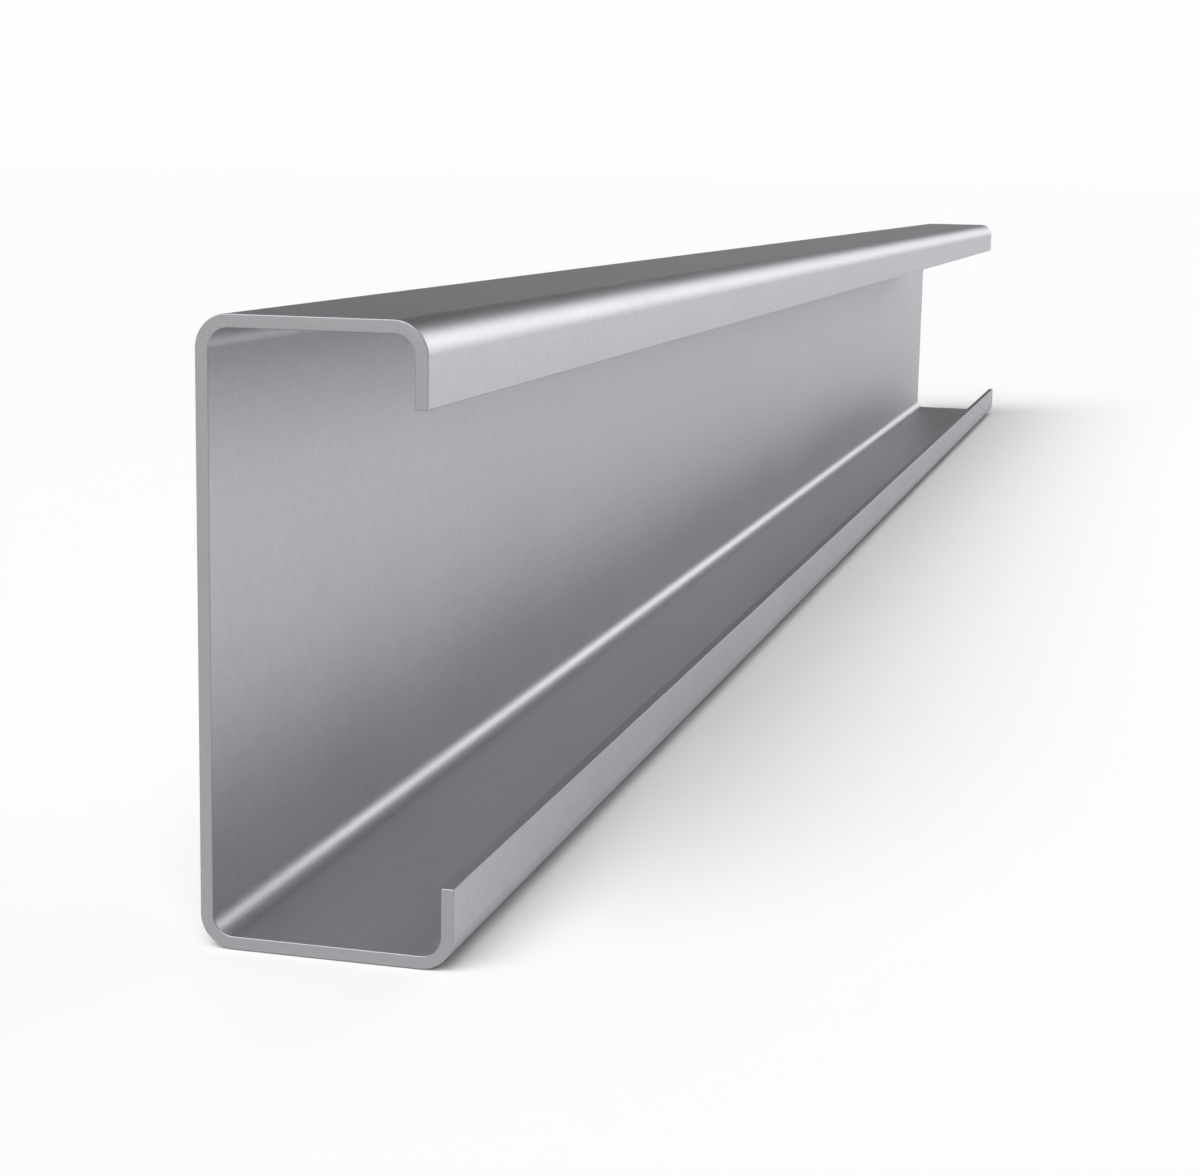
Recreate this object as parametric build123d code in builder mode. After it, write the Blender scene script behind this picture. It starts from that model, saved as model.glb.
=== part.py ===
from build123d import *

import os

# A galvanized C purlin: one length of cold-formed lipped channel.
#
# A single strip of zinc-coated steel is rolled into a web, two flanges and two
# lips, joined by four round bends. The lower flange is the broad one and the
# upper the narrow one, so that such purlins nest in each other at a lap. It
# stands on the broad flange with the web upright at -X and the open side at +X,
# and it runs along Y. The origin is on the floor, under the middle of the broad
# flange's width and of the length.

# Section, in millimetres
web_height = 150.0  # outside both flanges
lower_flange_width = 63.0  # back of the web to the face of the lip
upper_flange_width = 56.0
lip_depth = 20.0  # outside of the flange to the slit edge of the lip
sheet_thickness = 3.2
inside_bend_radius = 5.0

# Stock length, and the deburring of the two slit edges and the two cut ends
cut_length = 1400.0
edge_bevel = 0.3

outside_bend_radius = inside_bend_radius + sheet_thickness
web_back = -lower_flange_width / 2
lower_lip_face = web_back + lower_flange_width
upper_lip_face = web_back + upper_flange_width
lower_slit_edge = lip_depth
upper_slit_edge = web_height - lip_depth

# The outside line of the section, from one slit edge round to the other
outside_corners = [
    (upper_lip_face, upper_slit_edge),
    (upper_lip_face, web_height),
    (web_back, web_height),
    (web_back, 0),
    (lower_lip_face, 0),
    (lower_lip_face, lower_slit_edge),
]

os.makedirs("parts", exist_ok=True)

with BuildPart() as purlin:
    with BuildSketch(Plane.XZ) as section:
        with BuildLine():
            FilletPolyline(*outside_corners, radius=outside_bend_radius)
            offset(amount=sheet_thickness, side=Side.LEFT)
        make_face()
        # The two corners of each lip's slit edge
        lip_tips = section.vertices().filter_by_position(
            Axis.Y, lower_slit_edge, upper_slit_edge
        )
        chamfer(lip_tips, edge_bevel)
    extrude(amount=cut_length / 2, both=True)
    cut_ends = purlin.faces().filter_by(Axis.Y)
    chamfer(cut_ends.edges(), edge_bevel)

purlin.part.label = "purlin"
export_step(purlin.part, "parts/purlin.step")
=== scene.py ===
"""A galvanized C purlin, folded from one strip of sheet and set in a plain studio.

Lengths are in metres and the axes are the CAD model's: the purlin runs along Y, its web
stands upright at -X, its open side faces +X and it rests on the floor at Z = 0.
"""

import math

import bpy
from bpy.props import FloatProperty, FloatVectorProperty, IntProperty, PointerProperty
from mathutils import Matrix, Vector


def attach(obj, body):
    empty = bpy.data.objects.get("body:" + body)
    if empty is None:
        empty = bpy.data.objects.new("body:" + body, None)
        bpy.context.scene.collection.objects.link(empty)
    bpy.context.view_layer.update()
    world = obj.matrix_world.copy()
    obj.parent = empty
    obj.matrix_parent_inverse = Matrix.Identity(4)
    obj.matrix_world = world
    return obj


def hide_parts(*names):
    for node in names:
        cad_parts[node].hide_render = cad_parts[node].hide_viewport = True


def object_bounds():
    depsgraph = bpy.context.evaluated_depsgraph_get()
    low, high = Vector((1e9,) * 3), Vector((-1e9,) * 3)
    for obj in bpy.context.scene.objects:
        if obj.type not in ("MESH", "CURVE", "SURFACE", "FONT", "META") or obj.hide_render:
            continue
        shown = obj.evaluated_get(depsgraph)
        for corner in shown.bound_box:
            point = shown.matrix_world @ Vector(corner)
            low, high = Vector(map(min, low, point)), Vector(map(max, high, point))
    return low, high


bl_info = {
    "name": "Galvanized C Purlin",
    "version": (1, 0, 0),
    "blender": (4, 5, 0),
    "location": "3D View > Sidebar > Purlin",
    "description": "Folds a galvanized C purlin from one strip and sets it in a plain studio",
    "category": "Add Mesh",
}

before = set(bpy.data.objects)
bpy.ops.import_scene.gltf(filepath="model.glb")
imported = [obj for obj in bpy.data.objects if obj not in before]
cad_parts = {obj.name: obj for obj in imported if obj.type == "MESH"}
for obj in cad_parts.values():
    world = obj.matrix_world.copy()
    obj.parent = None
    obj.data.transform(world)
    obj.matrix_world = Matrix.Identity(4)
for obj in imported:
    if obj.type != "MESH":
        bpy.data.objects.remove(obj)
cad_low, cad_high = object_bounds()

MM = 0.001
TOUCH = 0.01 * MM  # two places closer than this are the same place
FLOOR_GAP = 0.2 * MM  # keeps the floor and the purlin's underside out of one plane


def linear(hex_colour):
    """An sRGB colour, written as six hex digits, in linear light."""
    channels = (int(hex_colour[i : i + 2], 16) / 255 for i in (0, 2, 4))
    return tuple(c / 12.92 if c <= 0.04045 else ((c + 0.055) / 1.055) ** 2.4 for c in channels)


class PurlinSizes(bpy.types.PropertyGroup):
    """The rolled section and the length it is cut to"""

    length: FloatProperty(
        name="Length",
        description="Cut length, along Y",
        default=cad_high.y - cad_low.y,
        unit="LENGTH",
    )
    web_height: FloatProperty(
        name="Web Height",
        description="Height over both flanges",
        default=cad_high.z - cad_low.z,
        unit="LENGTH",
    )
    lower_flange: FloatProperty(
        name="Lower Flange",
        description="Width of the broad flange, from the back of the web to the face of the lip",
        default=cad_high.x - cad_low.x,
        unit="LENGTH",
    )
    upper_flange: FloatProperty(
        name="Upper Flange",
        description="Width of the narrow flange, from the back of the web to the face of the lip",
        default=56 * MM,
        unit="LENGTH",
    )
    lip: FloatProperty(
        name="Lip",
        description="Depth of each lip, over the flange",
        default=20 * MM,
        unit="LENGTH",
    )
    sheet: FloatProperty(
        name="Sheet",
        description="Thickness of the coated strip",
        default=3.2 * MM,
        unit="LENGTH",
    )
    inside_bend: FloatProperty(
        name="Inside Bend",
        description="Inside radius of the four bends",
        default=5 * MM,
        unit="LENGTH",
    )
    bend_segments: IntProperty(
        name="Bend Segments",
        description="Flat steps round one bend",
        default=16,
        min=4,
    )
    station: FloatProperty(
        name="Station",
        description="Spacing of the cross cuts that keep the mesh's faces from getting too long",
        default=100 * MM,
        unit="LENGTH",
    )
    edge_radius: FloatProperty(
        name="Edge Radius",
        description="Rounding of the sheared and slit edges",
        default=0.3 * MM,
        unit="LENGTH",
    )


class PurlinFinish(bpy.types.PropertyGroup):
    """The zinc coat and the bare steel at its edges"""

    zinc: FloatVectorProperty(
        name="Zinc",
        description="Colour of the zinc coat, seen square on",
        default=linear("C8C8CB"),
        subtype="COLOR",
    )
    zinc_glance: FloatVectorProperty(
        name="Zinc Glance",
        description="Tint of what the zinc mirrors at a glancing angle",
        default=linear("D1D2D5"),
        subtype="COLOR",
    )
    zinc_roughness: FloatProperty(
        name="Zinc Roughness",
        description="How dull the zinc coat is",
        default=0.46,
        subtype="FACTOR",
        min=0,
        max=1,
    )
    rolled_grain: FloatProperty(
        name="Rolled Grain",
        description="How much more the coat scatters across the rolling direction than along it",
        default=0.5,
        subtype="FACTOR",
        min=0,
        max=1,
    )
    spangle: FloatProperty(
        name="Spangle",
        description="Width of one zinc crystal",
        default=2.5 * MM,
        unit="LENGTH",
    )
    roll_line: FloatProperty(
        name="Roll Line",
        description="Width of a line that the rolls leave along the strip",
        default=1.5 * MM,
        unit="LENGTH",
    )
    cloud: FloatProperty(
        name="Cloud",
        description="Width of a patch where the coat is a little duller",
        default=80 * MM,
        unit="LENGTH",
    )
    steel: FloatVectorProperty(
        name="Cut Steel",
        description="Colour of the sheared ends and slit edges",
        default=linear("A4A4A7"),
        subtype="COLOR",
    )
    steel_roughness: FloatProperty(
        name="Cut Steel Roughness",
        description="How dull the sheared ends and slit edges are",
        default=0.5,
        subtype="FACTOR",
        min=0,
        max=1,
    )
    shear_mark: FloatProperty(
        name="Shear Mark",
        description="Width of one mark that the shear blade leaves",
        default=0.6 * MM,
        unit="LENGTH",
    )


class PurlinStudio(bpy.types.PropertyGroup):
    """The floor, the room round it, the softboxes and the camera"""

    floor: FloatVectorProperty(
        name="Floor",
        description="Colour of the floor",
        default=linear("F7F7F7"),
        subtype="COLOR",
    )
    floor_size: FloatProperty(
        name="Floor Size",
        description="Side of the floor, which reaches to the horizon",
        default=400,
        unit="LENGTH",
    )
    backdrop: FloatVectorProperty(
        name="Backdrop",
        description="Colour of the backdrop behind the floor",
        default=linear("FDFDFD"),
        subtype="COLOR",
    )
    backdrop_top: FloatProperty(
        name="Backdrop Top",
        description="Height above the horizon at which the backdrop starts to darken",
        default=math.radians(5),
        subtype="ANGLE",
    )
    curtain: FloatVectorProperty(
        name="Curtain",
        description="Colour of the dark curtain above the backdrop, which the flanges mirror",
        default=linear("1E1E1E"),
        subtype="COLOR",
    )
    curtain_foot: FloatProperty(
        name="Curtain Foot",
        description="Height above the horizon from which only the curtain shows",
        default=math.radians(12),
        subtype="ANGLE",
    )
    curtain_top: FloatProperty(
        name="Curtain Top",
        description="Height above the horizon at which the curtain ends",
        default=math.radians(35),
        subtype="ANGLE",
    )
    ceiling: FloatVectorProperty(
        name="Ceiling",
        description="Colour of the light ceiling",
        default=linear("BCBCBC"),
        subtype="COLOR",
    )
    ceiling_foot: FloatProperty(
        name="Ceiling Foot",
        description="Height above the horizon from which only the ceiling shows",
        default=math.radians(50),
        subtype="ANGLE",
    )
    key_power: FloatProperty(
        name="Key Power",
        description="Strength of the large softbox above and behind the camera, in W/m2",
        default=2.95,
    )
    low_power: FloatProperty(
        name="Low Power",
        description="Strength of the low softbox that draws the light lines on the bends, in W/m2",
        default=0.38,
    )
    lens: FloatProperty(
        name="Lens",
        description="Focal length in millimetres, on a sensor 36 mm wide",
        default=69.88,
        min=1,
    )
    stand: FloatVectorProperty(
        name="Camera Stand",
        description="Place of the camera",
        default=(0.1895, -1.1913, 0.1821),
        subtype="TRANSLATION",
    )
    yaw: FloatProperty(
        name="Yaw",
        description="Turn of the camera to the left of the length",
        default=math.radians(14.25),
        subtype="ANGLE",
    )
    pitch: FloatProperty(
        name="Pitch",
        description="Tilt of the camera below the horizon",
        default=math.radians(10.02),
        subtype="ANGLE",
    )
    roll: FloatProperty(
        name="Roll",
        description="Turn of the camera about its own line of sight",
        default=math.radians(1.13),
        subtype="ANGLE",
    )


def add_node(tree, kind, inputs=None, **settings):
    """Adds a node, sets it up, and gives each named input a value or a link."""
    node = tree.nodes.new(kind)
    for name, value in settings.items():
        setattr(node, name, value)
    for name, value in (inputs or {}).items():
        if isinstance(value, bpy.types.NodeSocket):
            tree.links.new(value, node.inputs[name])
        else:
            node.inputs[name].default_value = value
    return node


def new_material(name):
    """A material with an empty node tree."""
    material = bpy.data.materials.new(name)
    material.use_nodes = True
    material.node_tree.nodes.clear()
    return material


def galvanized_strip(finish):
    """Galvanized steel: hot-dip zinc coat on cold-rolled strip, passed through skin rolls.

    The coat is a satin light grey metal. The rolls leave faint lines along the strip, so it
    scatters light more across its length than along it, and the bends show soft light lines.
    The crystals of the zinc are pressed nearly flat, which leaves only a faint spangle.
    """
    material = new_material("galvanized_strip")
    tree = material.node_tree
    place = add_node(tree, "ShaderNodeTexCoord").outputs["Object"]

    # Each crystal is its own shade. Real ones are about 1 mm wide here and wouldn't show.
    crystals = add_node(
        tree, "ShaderNodeTexVoronoi", {"Vector": place, "Scale": 1 / finish.spangle}
    )
    shade = add_node(
        tree, "ShaderNodeSeparateColor", {"Color": crystals.outputs["Color"]}
    ).outputs["Red"]

    # Roll lines are a hundred times as long as they are wide. Real ones are a few tenths of
    # a millimetre wide and wouldn't show.
    line_length = 100 * finish.roll_line
    stretched = add_node(
        tree,
        "ShaderNodeMapping",
        {
            "Vector": place,
            "Scale": (1 / finish.roll_line, 1 / line_length, 1 / finish.roll_line),
        },
    )
    lines = add_node(
        tree,
        "ShaderNodeTexNoise",
        {"Vector": stretched.outputs["Vector"], "Scale": 1.0, "Detail": 2.0},
    ).outputs["Fac"]
    clouds = add_node(
        tree, "ShaderNodeTexNoise", {"Vector": place, "Scale": 1 / finish.cloud, "Detail": 3.0}
    ).outputs["Fac"]

    # How far each pattern moves the tone, which starts low enough to keep its mean at 1
    patterns = ((shade, 0.04), (lines, 0.05), (clouds, 0.12))
    tone = 1.0 - sum(swing for pattern, swing in patterns) / 2
    for pattern, swing in patterns:
        tone = add_node(
            tree,
            "ShaderNodeMath",
            {0: pattern, 1: swing, 2: tone},
            operation="MULTIPLY_ADD",
        ).outputs["Value"]
    colour = add_node(
        tree,
        "ShaderNodeVectorMath",
        {0: tuple(finish.zinc), "Scale": tone},
        operation="SCALE",
    ).outputs["Vector"]
    patchiness = 0.08  # how much duller the dullest patch is than the clearest
    dullness = add_node(
        tree,
        "ShaderNodeMath",
        {0: clouds, 1: patchiness, 2: finish.zinc_roughness - patchiness / 2},
        operation="MULTIPLY_ADD",
    ).outputs["Value"]
    across = add_node(tree, "ShaderNodeTangent", direction_type="RADIAL", axis="Y")

    coat = add_node(
        tree,
        "ShaderNodeBsdfPrincipled",
        {
            "Base Color": colour,
            "Metallic": 1.0,
            "Roughness": dullness,
            "Specular Tint": (*finish.zinc_glance, 1.0),
            "Anisotropic": finish.rolled_grain,
            "Tangent": across.outputs["Tangent"],
        },
    )
    add_node(tree, "ShaderNodeOutputMaterial", {"Surface": coat.outputs["BSDF"]})
    return material


def sheared_steel(finish):
    """Bare low-carbon steel, where the strip was slit and the length was sheared off.

    The blade drags the metal and some zinc over the edge, so it is a dull mid grey, mottled
    by fine marks. Those are a few tenths of a millimetre wide, and drawn wider here to show.
    """
    material = new_material("sheared_steel")
    tree = material.node_tree
    place = add_node(tree, "ShaderNodeTexCoord").outputs["Object"]
    marks = add_node(
        tree, "ShaderNodeTexNoise", {"Vector": place, "Scale": 1 / finish.shear_mark, "Detail": 2.0}
    ).outputs["Fac"]
    mottle = 0.16  # how much lighter the lightest mark is than the darkest
    tone = add_node(
        tree,
        "ShaderNodeMath",
        {0: marks, 1: mottle, 2: 1 - mottle / 2},
        operation="MULTIPLY_ADD",
    ).outputs["Value"]
    colour = add_node(
        tree,
        "ShaderNodeVectorMath",
        {0: tuple(finish.steel), "Scale": tone},
        operation="SCALE",
    ).outputs["Vector"]
    metal = add_node(
        tree,
        "ShaderNodeBsdfPrincipled",
        {"Base Color": colour, "Metallic": 1.0, "Roughness": finish.steel_roughness},
    )
    add_node(tree, "ShaderNodeOutputMaterial", {"Surface": metal.outputs["BSDF"]})
    return material


def studio_paint(studio):
    """Matt white emulsion, rolled on, which has no gloss to mirror the lamps."""
    material = new_material("studio_paint")
    tree = material.node_tree
    paint = add_node(tree, "ShaderNodeBsdfDiffuse", {"Color": (*studio.floor, 1.0)})
    add_node(tree, "ShaderNodeOutputMaterial", {"Surface": paint.outputs["BSDF"]})
    return material


def start_fresh():
    """Back to object mode with nothing selected, since operators act on all that is."""
    if bpy.context.object and bpy.context.object.mode != "OBJECT":
        bpy.ops.object.mode_set(mode="OBJECT")
    bpy.ops.object.select_all(action="DESELECT")


def select_edges(piece, wanted):
    """In edit mode, selects just the edges for which wanted(one end, other end) holds."""
    bpy.ops.mesh.select_all(action="DESELECT")
    bpy.ops.object.mode_set(mode="OBJECT")
    points = piece.data.vertices
    for edge in piece.data.edges:
        start, end = edge.vertices
        edge.select = wanted(points[start].co, points[end].co)
    bpy.ops.object.mode_set(mode="EDIT")


def select_faces(piece, wanted):
    """In edit mode, selects just the faces for which wanted(face) holds."""
    bpy.ops.mesh.select_all(action="DESELECT")
    bpy.ops.object.mode_set(mode="OBJECT")
    for face in piece.data.polygons:
        face.select = wanted(face)
    bpy.ops.object.mode_set(mode="EDIT")


def apply_modifier(piece, kind, **settings):
    """Adds a modifier, sets it up and applies it."""
    modifier = piece.modifiers.new(kind.title(), kind)
    for name, value in settings.items():
        setattr(modifier, name, value)
    bpy.ops.object.modifier_apply(modifier=modifier.name)


def corner_line(x, z):
    """Tells whether an edge lies on the line along Y through one corner of the section."""

    def lies_on(start, end):
        return all(abs(p.x - x) < TOUCH and abs(p.z - z) < TOUCH for p in (start, end))

    return lies_on


class PURLIN_OT_strip(bpy.types.Operator):
    """Fold a flat strip into web, flanges and lips, and give it its sheet thickness"""

    bl_idname = "purlin.strip"
    bl_label = "Fold Purlin"
    bl_options = {"REGISTER", "UNDO"}

    def execute(self, context):
        sizes = context.scene.purlin_sizes
        finish = context.scene.purlin_finish
        web_back = -sizes.lower_flange / 2
        upper_lip_face = web_back + sizes.upper_flange
        lower_lip_face = web_back + sizes.lower_flange
        top = sizes.web_height

        # The web, standing on its long edge, with its outer side facing -X
        start_fresh()
        bpy.ops.mesh.primitive_plane_add(
            size=1, location=(web_back, 0, top / 2), rotation=(0, -math.pi / 2, 0)
        )
        strip = context.active_object
        strip.name = "folded_strip"
        strip.scale = (top, sizes.length, 1)
        bpy.ops.object.transform_apply(location=True, rotation=True, scale=True)

        bpy.ops.object.mode_set(mode="EDIT")
        bpy.ops.mesh.select_mode(type="EDGE")
        select_edges(strip, lambda start, end: abs(start.y - end.y) > TOUCH)
        bpy.ops.mesh.subdivide(number_cuts=round(sizes.length / sizes.station) - 1)

        # Each flange grows out of the web towards +X, and its lip turns inwards
        for height, width, inwards in (
            (top, sizes.upper_flange, -1),
            (0, sizes.lower_flange, 1),
        ):
            select_edges(strip, corner_line(web_back, height))
            bpy.ops.mesh.extrude_edges_move(TRANSFORM_OT_translate={"value": (width, 0, 0)})
            bpy.ops.mesh.extrude_edges_move(
                TRANSFORM_OT_translate={"value": (0, 0, inwards * sizes.lip)}
            )

        bends = [
            corner_line(web_back, 0),
            corner_line(web_back, top),
            corner_line(lower_lip_face, 0),
            corner_line(upper_lip_face, top),
        ]
        select_edges(strip, lambda start, end: any(bend(start, end) for bend in bends))
        bpy.ops.mesh.bevel(
            offset=sizes.inside_bend + sizes.sheet,
            offset_type="OFFSET",
            segments=sizes.bend_segments,
            profile=0.5,  # round
            affect="EDGES",
        )
        bpy.ops.mesh.select_all(action="SELECT")
        bpy.ops.mesh.normals_make_consistent(inside=False)
        bpy.ops.object.mode_set(mode="OBJECT")
        web = max(strip.data.polygons, key=lambda face: face.area)
        if web.normal.x > 0:
            bpy.ops.object.mode_set(mode="EDIT")
            bpy.ops.mesh.flip_normals()
            bpy.ops.object.mode_set(mode="OBJECT")

        # The mesh so far is the outside of the section, so the sheet thickens inwards
        apply_modifier(
            strip, "SOLIDIFY", thickness=sizes.sheet, offset=-1, use_even_offset=True
        )
        corner = math.radians(50)  # more than any step of a bend turns, less than a cut edge
        apply_modifier(
            strip,
            "BEVEL",
            width=sizes.edge_radius,
            segments=2,
            limit_method="ANGLE",
            angle_limit=corner,
        )
        bpy.ops.object.shade_smooth_by_angle(angle=corner)
        apply_modifier(strip, "WEIGHTED_NORMAL", keep_sharp=True)

        strip.data.materials.append(galvanized_strip(finish))
        strip.data.materials.append(sheared_steel(finish))
        slit_heights = (sizes.lip, top - sizes.lip)
        lean = 0.2  # the least that a face of a cut edge's rounding leans towards the cut

        def is_cut(face):
            """Whether a face belongs to a sheared end or a slit edge, or to its rounding."""
            at_end = abs(face.normal.y) > lean
            at_slit = any(abs(face.center.z - z) < sizes.edge_radius for z in slit_heights)
            return at_end or (at_slit and abs(face.normal.z) > lean)

        bpy.ops.object.mode_set(mode="EDIT")
        bpy.ops.mesh.select_mode(type="FACE")
        select_faces(strip, is_cut)
        strip.active_material_index = 1
        bpy.ops.object.material_slot_assign()
        bpy.ops.object.mode_set(mode="OBJECT")

        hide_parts("purlin")
        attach(strip, "root")
        return {"FINISHED"}


def far_softbox(name, power, azimuth, height, width):
    """A softbox so far off that it lights both ends of the purlin alike.

    All angles are in degrees: the azimuth from +Y towards +X, the height above the horizon,
    and the width that the softbox has in the sky.
    """
    azimuth, height = math.radians(azimuth), math.radians(height)
    level = math.cos(height)
    towards = Vector((math.sin(azimuth) * level, math.cos(azimuth) * level, math.sin(height)))
    start_fresh()
    bpy.ops.object.light_add(type="SUN", rotation=towards.to_track_quat("Z", "Y").to_euler())
    lamp = bpy.context.active_object
    lamp.name = name
    lamp.data.angle = math.radians(width)
    lamp.data.energy = power


class PURLIN_OT_studio(bpy.types.Operator):
    """Lay the pale floor and set the backdrop, the softboxes and the camera"""

    bl_idname = "purlin.studio"
    bl_label = "Set Studio"
    bl_options = {"REGISTER", "UNDO"}

    def execute(self, context):
        studio = context.scene.purlin_studio

        start_fresh()
        bpy.ops.mesh.primitive_plane_add(size=studio.floor_size, location=(0, 0, -FLOOR_GAP))
        floor = context.active_object
        floor.name = "floor"
        floor.data.materials.append(studio_paint(studio))

        # Round the horizon a white backdrop, over it a dark curtain and then a light ceiling.
        # For a world, Generated is the direction of sight, and its Z the sine of its height.
        world = bpy.data.worlds.new("studio")
        context.scene.world = world
        world.use_nodes = True
        tree = world.node_tree
        tree.nodes.clear()
        direction = add_node(tree, "ShaderNodeTexCoord").outputs["Generated"]
        height = add_node(tree, "ShaderNodeSeparateXYZ", {"Vector": direction}).outputs["Z"]
        room = add_node(tree, "ShaderNodeValToRGB", {"Fac": height})
        room.color_ramp.interpolation = "EASE"
        lowest, highest = room.color_ramp.elements
        lowest.position = math.sin(studio.backdrop_top)
        lowest.color = (*studio.backdrop, 1.0)
        highest.position = math.sin(studio.ceiling_foot)
        highest.color = (*studio.ceiling, 1.0)
        for edge in (studio.curtain_foot, studio.curtain_top):
            stop = room.color_ramp.elements.new(math.sin(edge))
            stop.color = (*studio.curtain, 1.0)
        shown = room.outputs["Color"]
        background = add_node(tree, "ShaderNodeBackground", {"Color": shown, "Strength": 1.0})
        add_node(tree, "ShaderNodeOutputWorld", {"Surface": background.outputs["Background"]})

        far_softbox("key_softbox", studio.key_power, azimuth=-168, height=50, width=60)
        far_softbox("low_softbox", studio.low_power, azimuth=17, height=12.5, width=20)

        start_fresh()
        bpy.ops.object.camera_add(location=studio.stand)
        camera = context.active_object
        camera.name = "camera"
        camera.data.lens = studio.lens
        camera.data.clip_end = studio.floor_size
        turned = (
            Matrix.Rotation(studio.yaw, 3, "Z")
            @ Matrix.Rotation(math.pi / 2 - studio.pitch, 3, "X")
            @ Matrix.Rotation(studio.roll, 3, "Z")
        )
        camera.rotation_euler = turned.to_euler()
        context.scene.camera = camera
        context.scene.view_settings.view_transform = "Standard"
        return {"FINISHED"}


class PURLIN_PT_sidebar(bpy.types.Panel):
    """Lists the purlin's sizes, finish and studio, and the operators that build them"""

    bl_idname = "PURLIN_PT_sidebar"
    bl_label = "Galvanized Purlin"
    bl_space_type = "VIEW_3D"
    bl_region_type = "UI"
    bl_category = "Purlin"

    def draw(self, context):
        scene = context.scene
        for group in (scene.purlin_sizes, scene.purlin_finish, scene.purlin_studio):
            box = self.layout.box()
            for name in group.__annotations__:
                box.prop(group, name)
        self.layout.operator(PURLIN_OT_strip.bl_idname)
        self.layout.operator(PURLIN_OT_studio.bl_idname)


CLASSES = (
    PurlinSizes,
    PurlinFinish,
    PurlinStudio,
    PURLIN_OT_strip,
    PURLIN_OT_studio,
    PURLIN_PT_sidebar,
)


def register():
    for cls in CLASSES:
        bpy.utils.register_class(cls)
    bpy.types.Scene.purlin_sizes = PointerProperty(type=PurlinSizes)
    bpy.types.Scene.purlin_finish = PointerProperty(type=PurlinFinish)
    bpy.types.Scene.purlin_studio = PointerProperty(type=PurlinStudio)


def unregister():
    del bpy.types.Scene.purlin_studio
    del bpy.types.Scene.purlin_finish
    del bpy.types.Scene.purlin_sizes
    for cls in reversed(CLASSES):
        bpy.utils.unregister_class(cls)


def main():
    register()
    bpy.ops.purlin.strip()
    bpy.ops.purlin.studio()


if __name__ == "__main__":
    main()
